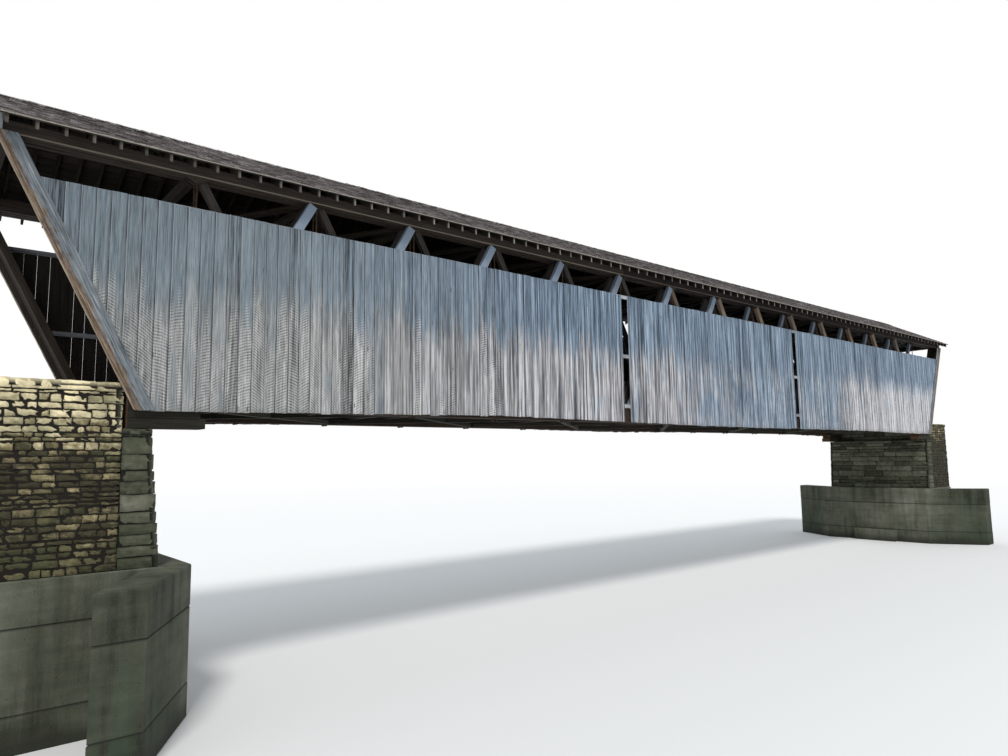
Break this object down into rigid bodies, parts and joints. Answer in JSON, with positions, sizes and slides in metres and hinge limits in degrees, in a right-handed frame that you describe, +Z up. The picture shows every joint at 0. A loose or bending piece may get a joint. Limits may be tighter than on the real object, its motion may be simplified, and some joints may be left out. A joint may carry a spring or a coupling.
{
  "type": "covered timber bridge",
  "caption": "Single-span covered timber bridge with crossed truss braces and iron rods, board siding, raked portals and a shingle roof, on stone abutments with splayed concrete footings.",
  "frame": {"origin": "middle of the whole bridge in plan, at the foot of the abutments", "axes": "+X along the bridge to its right-hand end as seen from the front, +Y across the bridge to its back, +Z up"},
  "size_m": [39, 8.7, 11.0036],
  "materials": {
    "weathered_siding": "rough-sawn vertical boards, silver-grey and weathered",
    "trim_board": "brown weathered board, worn pale along its edge",
    "framing_timber": "dark aged sawn timber",
    "deck_plank": "worn planks",
    "wood_shingle": "brown-grey weathered shingles",
    "limestone": "coursed rough stone, damp and dulled",
    "concrete": "board-marked stained concrete",
    "iron_rod": "rusted wrought iron"
  },
  "bodies": {
    "root": {"back_angle_blocks": "framing_timber", "back_counter_braces": "framing_timber", "back_lower_chord": "framing_timber", "back_main_braces": "framing_timber", "back_nailers": "framing_timber", "back_rafters": "framing_timber", "back_roof_slope": "wood_shingle", "back_siding_left": "weathered_siding", "back_siding_middle": "weathered_siding", "back_siding_right": "weathered_siding", "back_truss_rods": "iron_rod", "back_upper_chord": "framing_timber", "floor_beams": "framing_timber", "floor_deck": "deck_plank", "front_angle_blocks": "framing_timber", "front_counter_braces": "framing_timber", "front_lower_chord": "framing_timber", "front_main_braces": "framing_timber", "front_nailers": "framing_timber", "front_rafters": "framing_timber", "front_roof_slope": "wood_shingle", "front_siding_left": "weathered_siding", "front_siding_middle": "weathered_siding", "front_siding_right": "weathered_siding", "front_truss_rods": "iron_rod", "front_upper_chord": "framing_timber", "left_abutment": "limestone", "left_approach_wall": "limestone", "left_bolsters": "framing_timber", "left_footing": "concrete", "left_gable": "weathered_siding", "left_portal_posts": "framing_timber", "left_portal_trim": "trim_board", "lower_laterals": "framing_timber", "ridge_cap": "wood_shingle", "right_abutment": "limestone", "right_approach_wall": "limestone", "right_bolsters": "framing_timber", "right_footing": "concrete", "right_gable": "weathered_siding", "right_portal_posts": "framing_timber", "right_portal_trim": "trim_board", "tie_beams": "framing_timber", "upper_laterals": "framing_timber"}
  },
  "joints": []
}
